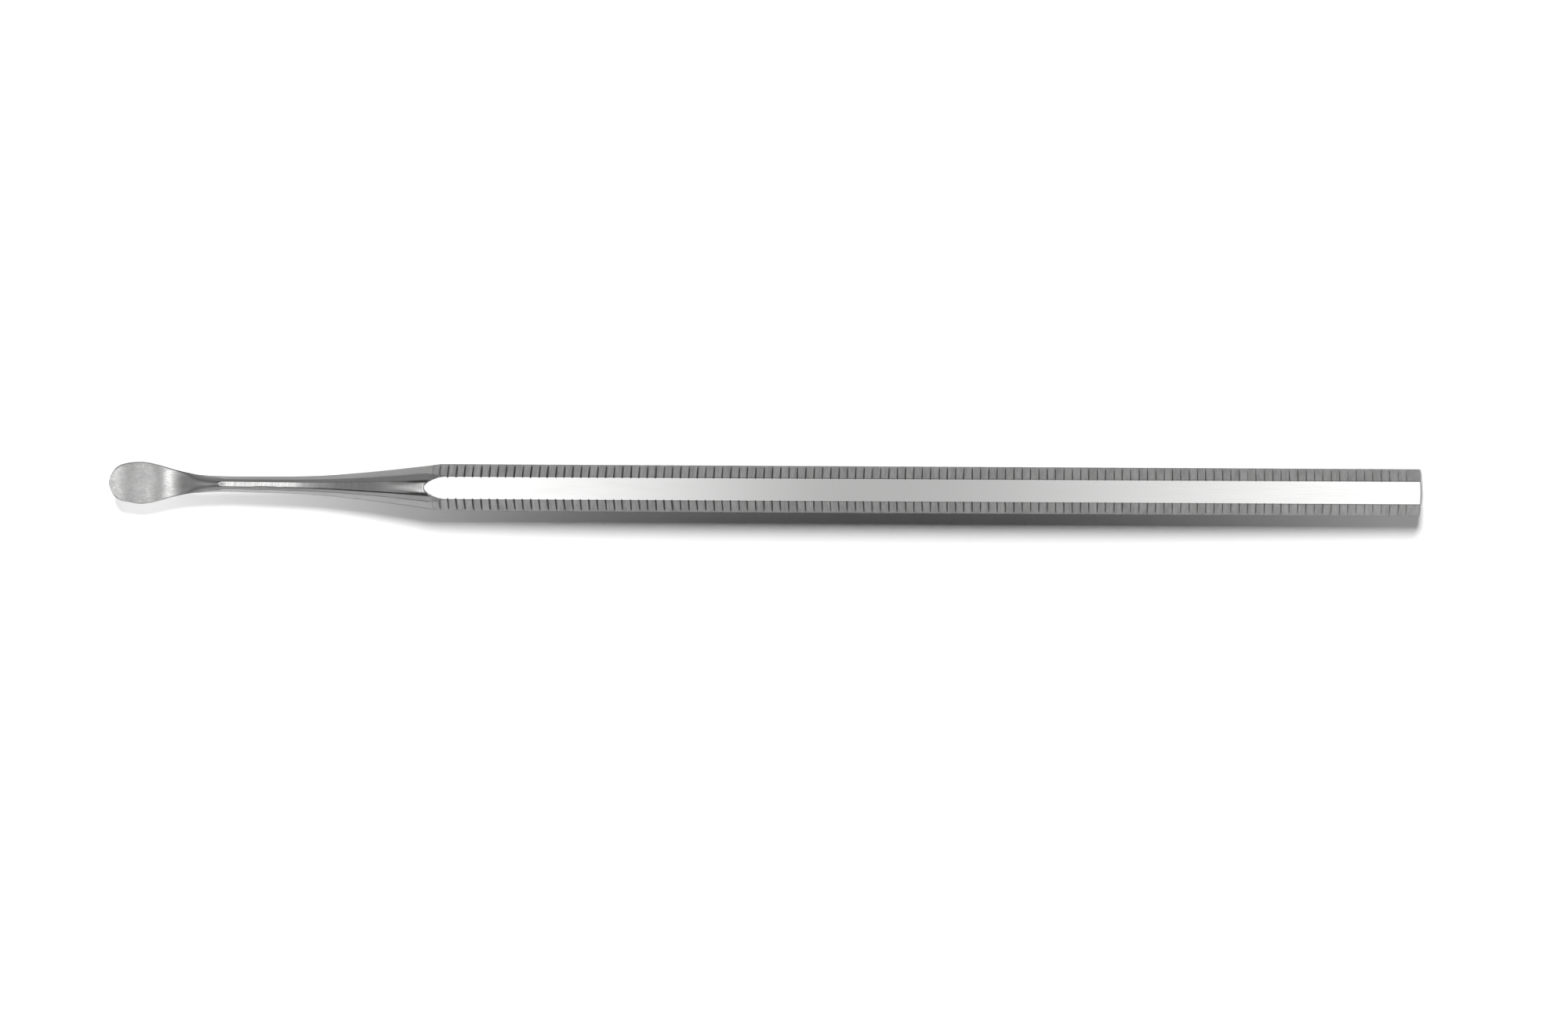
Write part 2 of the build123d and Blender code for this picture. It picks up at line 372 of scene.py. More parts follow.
def working_end_rings():
    """Each ring's distance from the tip and the outline's half width there, from tip to seam."""
    distance_at, width_at = outline_curve()
    lengths = np.concatenate([[FIRST_RING_ALONG], np.arange(*OUTLINE_STEPS)])
    front = distance_at(lengths)
    behind, start = [], front[-1] + RING_SPACINGS[0][1]
    for end, spacing in RING_SPACINGS:
        behind.append(np.arange(start, end, spacing))
        start = end
    behind = np.concatenate(behind + [[SEAM_FROM_TIP]])
    search = np.linspace(0.0, 14.0, 2000)
    width_behind = np.interp(behind, distance_at(search), width_at(search))
    width_behind = np.where(behind < OUTLINE_END_FROM_TIP, width_behind, UNCUT_HALF_WIDTH)
    return np.concatenate([front, behind]), np.concatenate([width_at(lengths), width_behind])


def working_end():
    rings = []
    for from_tip, half in zip(*working_end_rings()):
        radius = shank_radius(max(float(from_tip), SHANK_FROM_TIP))
        angles = ring_angles(float(from_tip), CREASE_HALF_WIDTH / radius)
        along_cut = min(max((from_tip - FLAT_CUT_FROM_TIP) / FLAT_CUT_LENGTH, 0.0), 1.0)
        flat_cut = FLAT_CUT_DEPTH * math.sin(math.pi * along_cut)
        shift = OUTLINE_OFFSET - float(BLANK_AT[0](from_tip))
        y, z = section(float(from_tip), half + shift, half - flat_cut - shift, angles)
        if from_tip > SEAM_FROM_TIP - SEAM_RELIEF_LENGTH:
            scale = np.where(np.abs(z) < FLAT_DISTANCE - SEAM_RELIEF_BELOW, SEAM_RELIEF, 1.0)
            y, z = y * scale, z * scale
        rings.append(ring_at(TIP_X + from_tip, y, z))
    circle_y, circle_z = np.cos(angles), np.sin(angles)
    for x, radius in (
        (SEAM_X, TANG_RADIUS),
        (TANG_END_X - TANG_CHAMFER, TANG_RADIUS),
        (TANG_END_X, TANG_RADIUS - TANG_CHAMFER),
    ):
        rings.append(ring_at(x, circle_y * radius, circle_z * radius))
    vertices = np.concatenate(rings)
    points = len(angles)
    faces = grid_faces(len(rings), points)
    last_ring = (len(rings) - 1) * points
    faces.append(tuple(range(points)))
    faces.append(tuple(last_ring + i for i in range(points)))
    return make_mesh("working_end_steel", vertices, faces)


# ---- the handle ---------------------------------------------------------------------------------------

def handle_section(dense):
    """The hexagon's outline as points, with what each needs for the grooves.

    Each row is y, z, flank (its side, or -1 on the smooth flats and side corners), along (0 at the side
    corner, 1 at the border of the smooth flat, past 1 on the round between the two) and whether the
    point is also there in the plainer section. The dense section resolves the flats' arched ends."""
    rows = []
    half_side = FLAT_DISTANCE * math.tan(math.pi / 6)
    side_reach = half_side - SIDE_ROUND * math.tan(math.pi / 6)
    far = BORDER_REACH
    flat_spots = [-far, 0.03 - far, 0.3 - far, 0.0, far - 0.3, far - 0.03, far]
    more_spots = list(np.arange(0.06, 0.85, 0.11)) + list(np.arange(0.86, far - 0.035, 0.018))
    more_spots = [sign * spot for sign in (-1, 1) for spot in more_spots]
    more_spots = [spot for spot in more_spots if min(abs(spot - other) for other in flat_spots) > 0.012]
    for side in range(6):
        normal = math.radians(30 + 60 * side)
        outward = np.array([math.cos(normal), math.sin(normal)])
        along_side = np.array([-outward[1], outward[0]])
        smooth_flat = side in (1, 4)
        if smooth_flat:
            spots = [(spot, True) for spot in flat_spots]
            if dense:
                spots += [(spot, False) for spot in more_spots]
        else:
            low, high = (-side_reach, BORDER_REACH) if side in (0, 3) else (-BORDER_REACH, side_reach)
            spots = [low, low + 0.03] + list(np.linspace(low + 0.12, high - 0.12, 10)) + [high - 0.03, high]
            spots = [(spot, True) for spot in spots]
        for spot, plain in sorted(spots):
            y, z = outward * FLAT_DISTANCE + along_side * spot
            towards_flat = spot if side in (0, 3) else -spot
            along = (towards_flat + side_reach) / (BORDER_REACH + side_reach)
            rows.append((y, z, -1 if smooth_flat else side, along, plain))
        corner = math.radians(60 + 60 * side)
        corner_round = SIDE_ROUND if side in (2, 5) else BORDER_ROUND
        corner_centre = (FLAT_DISTANCE - corner_round) / math.cos(math.pi / 6)
        for share in (0.2, 0.4, 0.6, 0.8):
            turn = normal + share * math.pi / 3
            y = corner_centre * math.cos(corner) + corner_round * math.cos(turn)
            z = corner_centre * math.sin(corner) + corner_round * math.sin(turn)
            if side in (0, 3):
                rows.append((y, z, side, 1.0 + share, True))
            elif side in (1, 4):
                rows.append((y, z, side + 1, 2.0 - share, True))
            else:
                rows.append((y, z, -1, -1.0, True))
    return rows


def groove_depth_profile(along):
    """Share of the full depth: nothing at the side corner, most of it by a sixth of the way, and all of
    it at the smooth flat's border."""
    return smooth(along, 0.02, 0.16) * (0.82 + 0.18 * np.clip(along, 0, 1))


FRONT_DEPTH, REAR_DEPTH = 0.155, 0.06          # of the first groove and the last
FRONT_HALF_WIDTH, REAR_HALF_WIDTH = 0.14, 0.06
DEPTH_SPREAD, WIDTH_SPREAD = 0.06, 0.07        # from groove to groove, as shares
PLACE_SPREAD = 0.012                           # of a groove's shift and of its lean
FLANK_INDEX = {0: 0, 2: 1, 3: 2, 5: 3}         # the four flanks by their place among the hexagon's sides
FLANKS = len(FLANK_INDEX)
FLANK_OF_QUARTER = {(1, 1): 0, (-1, 1): 1, (-1, -1): 2, (1, -1): 3}    # by the signs of y and z
ARCH_RING_STEP = 0.038                         # between rings of the handle over the flats' arched ends
FRONT_RING_STEP = 0.12                         # and behind them, up to the third groove
CLEAR_OF_GROOVE = 0.16                         # no plain ring this close to a groove
LAST_RING_BEHIND_GROOVE = 0.9
FLAT_RING_SPREAD = 0.12                        # half a groove's rings on the smooth flats, which it misses
CORNER_WIDTH = 0.75                            # a groove's width at the side corner, as a share
TURNED_POINTS = 96                             # round each turned piece
# A groove's rings: share of its depth and place across it, in half widths.
GROOVE_PROFILE = ((0.0, -1.25), (0.06, -1.0), (1.0, -0.15), (1.0, 0.15), (0.06, 1.0), (0.0, 1.25))


class Groove:
    """One cut across the four flanks, with the small unevenness of hand-fed work on each flank."""

    def __init__(self, index):
        done = index / (GROOVE_COUNT - 1)
        depth = FRONT_DEPTH + (REAR_DEPTH - FRONT_DEPTH) * done
        half_width = FRONT_HALF_WIDTH + (REAR_HALF_WIDTH - FRONT_HALF_WIDTH) * done
        self.x = SEAM_X + FIRST_GROOVE_FROM_SEAM + index * GROOVE_PITCH
        self.depth = depth * RNG.normal(1.0, DEPTH_SPREAD, FLANKS)
        self.half_width = half_width * RNG.normal(1.0, WIDTH_SPREAD, FLANKS)
        self.shift = RNG.normal(0.0, PLACE_SPREAD, FLANKS)
        self.lean = RNG.normal(0.0, PLACE_SPREAD, FLANKS)


def cone_limit(x, y, z):
    """Distance from the axis at which the shoulder's cone cuts the handle's front end."""
    from_tip = x - TIP_X
    return shank_radius(from_tip) * facet_factor(np.arctan2(z, y), from_tip)


class HandleRings:
    """Makes rings of the handle, all with the same points around, from one section of it."""

    def __init__(self, dense):
        rows = handle_section(dense)
        self.base = np.array([row[:2] for row in rows])
        self.count = len(rows)
        self.plain = [index for index, row in enumerate(rows) if row[4]]
        flank = np.array([row[2] for row in rows])
        self.along = np.array([row[3] for row in rows])
        self.which = np.array([FLANK_INDEX.get(side, -1) for side in flank])
        self.on_flank = self.which >= 0
        turn = np.radians(30 + 60 * flank)
        self.normals = np.column_stack([np.cos(turn), np.sin(turn)])
        below = FLAT_DISTANCE - np.sum(self.base * self.normals, axis=1)
        self.below = np.maximum(below, 0)                    # depth of each point under its flank's plane
        self.share = np.where(self.on_flank, groove_depth_profile(np.minimum(self.along, 1.0)), 0.0)
        # Points at the borders of the smooth flats slide along them, so that a groove ends in a notch.
        self.slides = []
        for index, (y, z, side, _, _) in enumerate(rows):
            at_border = side == -1 and abs(z) > FLAT_DISTANCE - 1e-6 and abs(y) > BORDER_REACH - 0.04
            if at_border:
                owner = FLANK_OF_QUARTER[int(np.sign(y)), int(np.sign(z))]
                self.slides.append((index, owner, -np.sign(y)))

    def ring(self, x, groove=None, reach=0.0, spread=0.0):
        """One ring: reach is the share of the groove's depth, spread of its half width."""
        points = self.base.copy()
        xs = np.full(self.count, float(x))
        if groove is not None:
            depth = groove.depth[self.which] * self.share * reach
            cut = np.where(self.on_flank, np.maximum(depth - self.below, 0), 0)
            points -= self.normals * cut[:, None]
            taper = CORNER_WIDTH + (1 - CORNER_WIDTH) * np.clip(self.along, 0, 1)
            moved = spread * groove.half_width[self.which] * taper
            moved += groove.shift[self.which] + groove.lean[self.which] * self.along
            xs += np.where(self.on_flank, moved, spread * FLAT_RING_SPREAD)
            for index, owner, direction in self.slides:
                notch = max(groove.depth[owner] * reach - BORDER_ROUND / 2, 0)
                points[index, 0] += direction * notch / math.sin(math.pi / 3)
                xs[index] = x + spread * groove.half_width[owner] + groove.shift[owner] + groove.lean[owner]
        if x - TIP_X < CONE_GONE_FROM_TIP:
            distance = np.hypot(points[:, 0], points[:, 1])
            limit = cone_limit(float(x), points[:, 0], points[:, 1])
            top = np.abs(points[:, 1]) > FLAT_DISTANCE * 0.8
            step = ARCH_STEP * smooth(distance - limit, 0.0, ARCH_STEP_WIDTH) * top
            points *= (np.minimum(limit - step, distance) / distance)[:, None]
        return np.column_stack([xs, points[:, 0], points[:, 1] + AXIS_Z])


def dome_at(radius):
    """X of the rear dome at this distance from the axis."""
    return REAR_X - END_DOME_RADIUS + np.sqrt(END_DOME_RADIUS ** 2 - radius ** 2)


def end_ring(points, back=0.0):
    """A ring on the rear dome, or this far in front of it."""
    dome = dome_at(np.hypot(points[:, 0], points[:, 1]))
    return np.column_stack([dome - back, points[:, 0], points[:, 1] + AXIS_Z])


def handle():
    dense, plain = HandleRings(True), HandleRings(False)
    grooves = [Groove(index) for index in range(GROOVE_COUNT)]
    change_x = (grooves[2].x + grooves[3].x) / 2             # the dense rings end here

    front = [(SEAM_X, None, 0.0, 0.0)]
    arch_end = TIP_X + ARCH_FROM_TIP + arch_length(BORDER_REACH) + 0.1
    over_arch = np.arange(SEAM_X + 0.03, arch_end, ARCH_RING_STEP)
    behind_arch = np.arange(arch_end, change_x, FRONT_RING_STEP)
    for x in np.concatenate([over_arch, behind_arch]):
        if min(abs(x - groove.x) for groove in grooves[:4]) > CLEAR_OF_GROOVE:
            front.append((x, None, 0.0, 0.0))
    for groove in grooves[:3]:
        front += [(groove.x + 0.1 * spread, groove, reach, spread) for reach, spread in GROOVE_PROFILE]
    front.sort(key=lambda row: row[0])
    vertices = [
        dense.ring(x if groove is None else groove.x, groove, reach, spread)
        for x, groove, reach, spread in front
    ]
    beside = np.abs(vertices[0][:, 2] - AXIS_Z) < FLAT_DISTANCE - SEAM_RELIEF_BELOW
    vertices[0][beside, 1] *= SEAM_RELIEF
    rear = [plain.ring(change_x)]
    for groove in grooves[3:]:
        rear += [plain.ring(groove.x, groove, reach, spread) for reach, spread in GROOVE_PROFILE]
        if groove is not grooves[-1]:
            rear.append(plain.ring(groove.x + GROOVE_PITCH / 2))
    rear.append(plain.ring(grooves[-1].x + LAST_RING_BEHIND_GROOVE))

    base, count = plain.base, plain.count
    radius = np.hypot(base[:, 0], base[:, 1])
    rear.append(end_ring(base, END_EDGE_ROUND + 0.04))       # keeps the shading of the round off the flats
    for turn in range(0, 91, 15):
        inset = END_EDGE_ROUND * (1 - math.cos(math.radians(turn)))
        back = END_EDGE_ROUND * (1 - math.sin(math.radians(turn)))
        rear.append(end_ring(base * (1 - inset / radius)[:, None], back))
    circle = base / radius[:, None] * BORE_RADIUS
    outer = base * (1 - END_EDGE_ROUND / radius)[:, None]
    rear += [end_ring(outer + (circle - outer) * inward) for inward in (0.12, 0.35, 0.6, 0.82, 0.96, 1.0)]
    for x in (REAR_X - 0.15, REAR_X - 1.0, SEAM_X + 1.0, SEAM_X):
        rear.append(np.column_stack([np.full(count, x), circle[:, 0], circle[:, 1] + AXIS_Z]))

    faces = grid_faces(len(vertices), dense.count)
    start = len(vertices) * dense.count
    faces += [tuple(index + start for index in face) for face in grid_faces(len(rear), count)]
    last_dense = start - dense.count
    last = start + (len(rear) - 1) * count

    def spans(first_ring):
        """Pairs of neighbouring plain points, with the dense ring's points from one to the other."""
        for index in range(count):
            after = (index + 1) % count
            low, high = dense.plain[index], dense.plain[after]
            steps = (high - low) % dense.count
            yield index, after, [first_ring + (low + step) % dense.count for step in range(steps + 1)]

    for index, after, chain in spans(last_dense):
        faces.append(tuple(chain) + (start + after, start + index))
    for index, after, chain in spans(0):
        faces.append(tuple(chain) + (last + after, last + index))
    return make_mesh("handle_steel", np.concatenate(vertices + rear), faces)


def turned(name, profile, closed=False):
    """A turned piece about the handle's axis from (x, radius) points. A closed profile makes a ring."""
    segments = TURNED_POINTS
    turns = np.arange(segments) * (2 * math.pi / segments)
    rings = [ring_at(x, np.cos(turns) * radius, np.sin(turns) * radius) for x, radius in profile]
    faces = grid_faces(len(rings), segments)
    last = (len(rings) - 1) * segments
    if closed:
        faces += [(last + i, i, (i + 1) % segments, last + (i + 1) % segments) for i in range(segments)]
    else:
        faces += [tuple(range(segments)), tuple(last + i for i in range(segments))]
    return make_mesh(name, np.concatenate(rings), faces)


def end_plug():
    dome = [(dome_at(radius), radius) for radius in np.linspace(PLUG_RADIUS, 0.02, 16)]
    front = [(PLUG_START_X, PLUG_RADIUS - TANG_CHAMFER), (PLUG_START_X + TANG_CHAMFER, PLUG_RADIUS)]
    middle = [(x, PLUG_RADIUS) for x in np.linspace(PLUG_START_X + TANG_CHAMFER, REAR_X - 0.2, 8)[1:]]
    return turned("end_plug_steel", front + middle + dome)


def plug_braze():
    start = PLUG_START_X + TANG_CHAMFER
    end = [(dome_at(radius) - 0.01, radius) for radius in np.linspace(BORE_RADIUS, PLUG_RADIUS, 4)]
    profile = [(start, PLUG_RADIUS), (start, BORE_RADIUS), (REAR_X - 1.0, BORE_RADIUS)] + end
    return turned("plug_braze_ring", profile, closed=True)


# ---- materials ----------------------------------------------------------------------------------------

class Graph:
    """Short names for the shader nodes used here."""

    def __init__(self, tree):
        self.tree = tree

    def node(self, kind, inputs=None, **settings):
        made = self.tree.nodes.new(kind)
        for name, value in settings.items():
            setattr(made, name, value)
        for name, value in (inputs or {}).items():
            if isinstance(value, bpy.types.NodeSocket):
                self.tree.links.new(value, made.inputs[name])
            else:
                made.inputs[name].default_value = value
        return made

    def math(self, operation, first, second=0.0):
        return self.node("ShaderNodeMath", {0: first, 1: second}, operation=operation).outputs[0]

    def total(self, *values):
        result = values[0]
        for value in values[1:]:
            result = self.math("ADD", result, value)
        return result

    def product(self, *values):
        result = values[0]
        for value in values[1:]:
            result = self.math("MULTIPLY", result, value)
        return result

    def degrees_between(self, first, second):
        """The angle in degrees whose tangent is first over second, in the right quarter."""
        return self.product(self.math("ARCTAN2", first, second), 180 / math.pi)

    def remap(self, value, low, high, to_low, to_high, kind="SMOOTHSTEP"):
        inputs = {"Value": value, "From Min": low, "From Max": high, "To Min": to_low, "To Max": to_high}
        return self.node("ShaderNodeMapRange", inputs, interpolation_type=kind).outputs["Result"]

    def coordinates(self, scale):
        """Object coordinates, with scale given as repeats in each millimetre."""
        place = self.node("ShaderNodeTexCoord").outputs["Object"]
        inputs = {"Vector": place, "Scale": [value / MM for value in scale]}
        return self.node("ShaderNodeMapping", inputs).outputs["Vector"]

    def noise(self, scale, detail=2.0, roughness=0.5):
        inputs = {"Vector": self.coordinates(scale), "Scale": 1.0, "Detail": detail, "Roughness": roughness}
        return self.node("ShaderNodeTexNoise", inputs).outputs[0]

    def grey(self, value, tint):
        parts = [self.product(value, part) for part in tint]
        return self.node("ShaderNodeCombineColor", {0: parts[0], 1: parts[1], 2: parts[2]}).outputs[0]

    def bump(self, height, distance_mm):
        inputs = {"Height": height, "Strength": 1.0, "Distance": distance_mm * MM}
        return self.node("ShaderNodeBump", inputs).outputs["Normal"]


# Each finish: its colour level, roughness, the most that its marks change each of them, the repeats of
# the marks in each millimetre along X, Y and Z, and their height in micrometres.
FINISHES = {
    "smooth_flat": (0.60, 0.05, 0.012, 0.012, (0.25, 9.0, 9.0), 0.01),
    "flank": (0.222, 0.36, 0.04, 0.07, (11.0, 0.7, 0.7), 1.4),
    # The groove's low colour level is painted shade in the grooves.
    "groove": (0.11, 0.50, 0.02, 0.06, (4.0, 4.0, 4.0), 0.8),
    "blade_streaks": (0.46, 0.22, 0.06, 0.04, (1.1, 6.0, 6.0), 0.9),
    "blade_specks": (0.46, 0.22, 0.10, 0.04, (4.2, 6.5, 6.5), 0.9),
    "neck": (0.24, 0.36, 0.03, 0.04, (1.2, 6.0, 6.0), 0.9),
    "shank": (0.22, 0.18, 0.02, 0.03, (0.5, 9.0, 9.0), 0.5),
    "upper_facet": (0.46, 0.075, 0.07, 0.02, (7.0, 0.8, 0.8), 0.3),
    # The crease's low colour level is partly oxide and partly painted shade.
    "crease": (0.12, 0.45, 0.03, 0.06, (3.0, 6.0, 6.0), 0.8),
    "end": (0.42, 0.30, 0.03, 0.05, (3.0, 5.0, 5.0), 0.8),
    "bore": (0.25, 0.50, 0.04, 0.08, (1.2, 3.0, 3.0), 1.5),
    "plug": (0.48, 0.28, 0.03, 0.05, (4.0, 4.0, 4.0), 0.8),
    "braze": (0.52, 0.38, 0.05, 0.06, (5.0, 5.0, 5.0), 1.2),
}
STEEL_TINT = (0.995, 1.0, 0.99)
BRAZE_TINT = (1.0, 0.93, 0.76)


def layer(graph, kind):
    """A finish as three sockets: colour level, roughness and height in micrometres."""
    level, roughness, level_change, roughness_change, grain, height = FINISHES[kind]
    fine = graph.noise(grain, detail=3.0, roughness=0.6)
    broad = graph.noise([value * 0.12 + 0.15 for value in grain], detail=2.0)
    mixed = graph.total(graph.product(fine, 0.6), graph.product(broad, 0.4))
    return (
        graph.remap(mixed, 0.3, 0.7, level - level_change, level + level_change),
        graph.remap(mixed, 0.3, 0.7, roughness + roughness_change, roughness - roughness_change),
        graph.product(fine, height),
    )


def blend(graph, under, over, share):
    """The under value where share is 0 and the over value where it is 1, for each part of a finish."""
    mixed = []
    for low, high in zip(under, over):
        change = graph.product(graph.math("SUBTRACT", high, low), share)
        mixed.append(graph.total(low, change))
    return mixed


def one_layer(kind):
    return lambda graph: layer(graph, kind)


def finish(name, make_layers, tint=STEEL_TINT):
    material = bpy.data.materials.new(name)
    material.use_nodes = True
    graph = Graph(material.node_tree)
    shader = material.node_tree.nodes["Principled BSDF"]
    shader.inputs["Metallic"].default_value = 1.0
    level, rough, height = make_layers(graph)
    graph.tree.links.new(graph.grey(level, tint), shader.inputs["Base Color"])
    graph.tree.links.new(rough, shader.inputs["Roughness"])
    graph.tree.links.new(graph.bump(height, 0.001), shader.inputs["Normal"])
    return material


def places(graph):
    """Distance from the tip, and Y and Z from the handle's axis, in millimetres."""
    parts = graph.node("ShaderNodeSeparateXYZ", {"Vector": graph.coordinates((1, 1, 1))}).outputs
    return graph.math("SUBTRACT", parts["X"], TIP_X), parts["Y"], graph.math("SUBTRACT", parts["Z"], AXIS_Z)


def on_smooth_flat(graph, z):
    """1 in the planes of the smooth flats, and 0 from 12 micrometres below them."""
    return graph.remap(graph.math("ABSOLUTE", z), FLAT_DISTANCE - 0.012, FLAT_DISTANCE - 0.003, 0.0, 1.0)


def handle_layers(graph):
    """Polished smooth flats, cross-ground flanks, and painted shade that darkens the grooves towards their
    bottoms.
    """
    from_tip, y, z = places(graph)
    towards_flank = graph.total(                 # distance from the axis, square to the nearest flank
        graph.product(graph.math("ABSOLUTE", y), math.cos(math.pi / 6)),
        graph.product(graph.math("ABSOLUTE", z), math.sin(math.pi / 6)),
    )
    # Painted shade: the deeper parts of the grooves take the dark groove colour.
    painted_groove_shade = graph.product(
        graph.remap(towards_flank, FLAT_DISTANCE - 0.075, FLAT_DISTANCE - 0.03, 1.0, 0.0),
        graph.remap(from_tip, CONE_GONE_FROM_TIP - 2.2, CONE_GONE_FROM_TIP - 0.4, 0.0, 1.0),
    )
    mixed = blend(graph, layer(graph, "flank"), layer(graph, "groove"), painted_groove_shade)
    return blend(graph, mixed, layer(graph, "smooth_flat"), on_smooth_flat(graph, z))


def about_crease(graph, from_tip, beside, z):
    """The angle about the shank's axis in degrees, and millimetres from the crease round it."""
    turn = graph.degrees_between(z, beside)
    radius = graph.math("SQRT", graph.total(graph.product(beside, beside), graph.product(z, z)))
    (start, middle, end), (first, second, third) = CREASE_FROM_TIP, CREASE_DEGREES
    line = graph.total(
        graph.remap(from_tip, start, middle, first, second, kind="LINEAR"),
        graph.remap(from_tip, middle, end, 0.0, third - second, kind="LINEAR"),
    )
    return turn, graph.product(graph.math("SUBTRACT", turn, line), radius, math.pi / 180)


def working_layers(graph):
    """Speckled satin on the blade, a lengthwise polish on the shank and taper, fine marks across the
    upper facet with a crease along its border darkened partly by oxide and partly by painted shade, and the
    arched start of the smooth flats."""
    from_tip, y, z = places(graph)
    set_over = graph.remap(from_tip, SHANK_FROM_TIP, SEAM_FROM_TIP, SHANK_OFFSET, 0.0, kind="LINEAR")
    beside = graph.math("SUBTRACT", y, set_over)
    turn, from_crease = about_crease(graph, from_tip, beside, z)

    mixed = blend(graph, layer(graph, "blade_streaks"), layer(graph, "blade_specks"), 0.5)
    mixed = blend(graph, mixed, layer(graph, "neck"), graph.remap(from_tip, 7.3, 9.3, 0.0, 1.0))
    mixed = blend(graph, mixed, layer(graph, "shank"), graph.remap(from_tip, 12.0, 15.0, 0.0, 1.0))

    oblique = graph.total(from_tip, graph.product(beside, 0.4))      # the facet's front end is askew
    on_facet = graph.product(
        graph.remap(turn, 90 - FACET_HALF_DEGREES - 0.4, 90 - FACET_HALF_DEGREES + 0.4, 0.0, 1.0),
        graph.remap(from_crease, -0.02, 0.02, 1.0, 0.0),
        graph.remap(oblique, 13.4, 13.6, 0.0, 1.0),
    )
    mixed = blend(graph, mixed, layer(graph, "upper_facet"), on_facet)

    # Painted shade, partly oxide: the crease takes a darker colour along its length.
    crease_shade_and_oxide = graph.product(
        graph.remap(graph.math("ABSOLUTE", from_crease), 0.05, 0.15, 1.0, 0.0),
        graph.remap(from_tip, 22.0, 31.0, 0.0, 1.0),
        graph.remap(from_tip, 39.0, 39.5, 1.0, 0.0),
    )
    mixed = blend(graph, mixed, layer(graph, "crease"), crease_shade_and_oxide)

    on_flat = graph.product(on_smooth_flat(graph, z), graph.remap(from_tip, 37.5, 38.0, 0.0, 1.0))
    return blend(graph, mixed, layer(graph, "smooth_flat"), on_flat)


handle_finish = finish("polished_ground_and_groove_shade", handle_layers)
working_finish = finish("blade_shank_crease_shade_and_oxide", working_layers)
end_dull = finish("end_dull", one_layer("end"))
bore_steel = finish("bore_steel", one_layer("bore"))
plug_steel = finish("plug_steel", one_layer("plug"))
braze_metal = finish("braze_metal", one_layer("braze"), BRAZE_TINT)


# ---- pieces, their bodies and slots --------------------------------------------------------------------

def face_places(mesh):
    """Each face's centre, in millimetres from the handle's axis, and its normal."""
    centres = np.empty(len(mesh.polygons) * 3)
    mesh.polygons.foreach_get("center", centres)
    normals = np.empty(len(mesh.polygons) * 3)
    mesh.polygons.foreach_get("normal", normals)
    return centres.reshape(-1, 3) / MM - [0, 0, AXIS_Z], normals.reshape(-1, 3)


# The handle's faces take its main finish, the dull one on the rear face and its round, or the bore's.
handle_piece = handle()
centres, normals = face_places(handle_piece.data)
material_of_face = np.zeros(len(centres), dtype=np.int32)
material_of_face[(centres[:, 0] > REAR_X - 1.0) & (normals[:, 0] > 0.25)] = 1
material_of_face[np.hypot(centres[:, 1], centres[:, 2]) < BORE_RADIUS + 0.02] = 2
for material in (handle_finish, end_dull, bore_steel):
    handle_piece.data.materials.append(material)
handle_piece.data.polygons.foreach_set("material_index", material_of_face)

working_piece = working_end()
working_piece.data.materials.append(working_finish)
plug_piece = end_plug()
plug_piece.data.materials.append(plug_steel)
ring_piece = plug_braze()
ring_piece.data.materials.append(braze_metal)
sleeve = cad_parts["tang_braze"]
sleeve.data.materials.clear()
sleeve.data.materials.append(braze_metal)

for piece, node in (
    (handle_piece, "handle"), (working_piece, "working_end"),
    (plug_piece, "end_plug"), (ring_piece, "plug_braze"),
):
    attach(piece, "root")
    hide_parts(node)


# ---- floor, light and camera ----------------------------------------------------------------------------

FLOOR_HALF_SIZE = 3000.0
FLOOR_GAP = 0.02                   # below the handle, so that the two faces don't coincide
FLOOR_WHITE = 0.82

half = FLOOR_HALF_SIZE * MM
floor_mesh = bpy.data.meshes.new("floor")
floor_mesh.from_pydata(
    [(-half, -half, 0), (half, -half, 0), (half, half, 0), (-half, half, 0)], [], [(0, 1, 2, 3)]
)
floor = bpy.data.objects.new("floor", floor_mesh)
bpy.context.scene.collection.objects.link(floor)
floor.location.z = (body_low[2] - FLOOR_GAP) * MM
floor_paint = bpy.data.materials.new("floor_paint")
floor_paint.use_nodes = True
floor_shader = floor_paint.node_tree.nodes["Principled BSDF"]
floor_shader.inputs["Base Color"].default_value = (FLOOR_WHITE, FLOOR_WHITE, FLOOR_WHITE, 1)
floor_shader.inputs["Roughness"].default_value = 0.9
floor_shader.inputs["Specular IOR Level"].default_value = 0.0
floor_mesh.materials.append(floor_paint)

world = bpy.data.worlds.new("studio")
bpy.context.scene.world = world
world.use_nodes = True
sky = Graph(world.node_tree)
direction = sky.node("ShaderNodeTexCoord").outputs["Generated"]
parts = sky.node("ShaderNodeSeparateXYZ", {"Vector": direction}).outputs

# The sky's brightness by direction, as (degrees, brightness) points: a row of softboxes overhead, by
# the angle along the handle, seen through a window across it; boxes at both sides, by the angle across
# the handle, within a window along it; and an even light beyond the instrument's two ends.
OVERHEAD = [
    (-40, 0.10), (-30, 0.12), (-26.5, 0.6), (-25.2, 3.5), (-19.6, 3.5), (-19.0, 1.0), (-18.2, 0.45),
    (-17.2, 0.22), (-14.5, 0.30), (-10.3, 0.60), (-8.6, 0.75), (-7.6, 2.0), (-6.2, 2.0), (-5.8, 0.7),
    (-5.0, 0.7), (-4.6, 1.75), (-3.9, 1.75), (-3.3, 1.5), (-2.72, 1.12), (-2.42, 0.95), (-1.82, 0.65),
    (-1.22, 0.65), (-0.61, 0.76), (-0.04, 0.97), (0.59, 1.2), (1.4, 1.6), (2.3, 1.8), (3.0, 0.45),
    (9.5, 0.38), (11.5, 2.6), (14, 2.4), (20, 0.15),
]
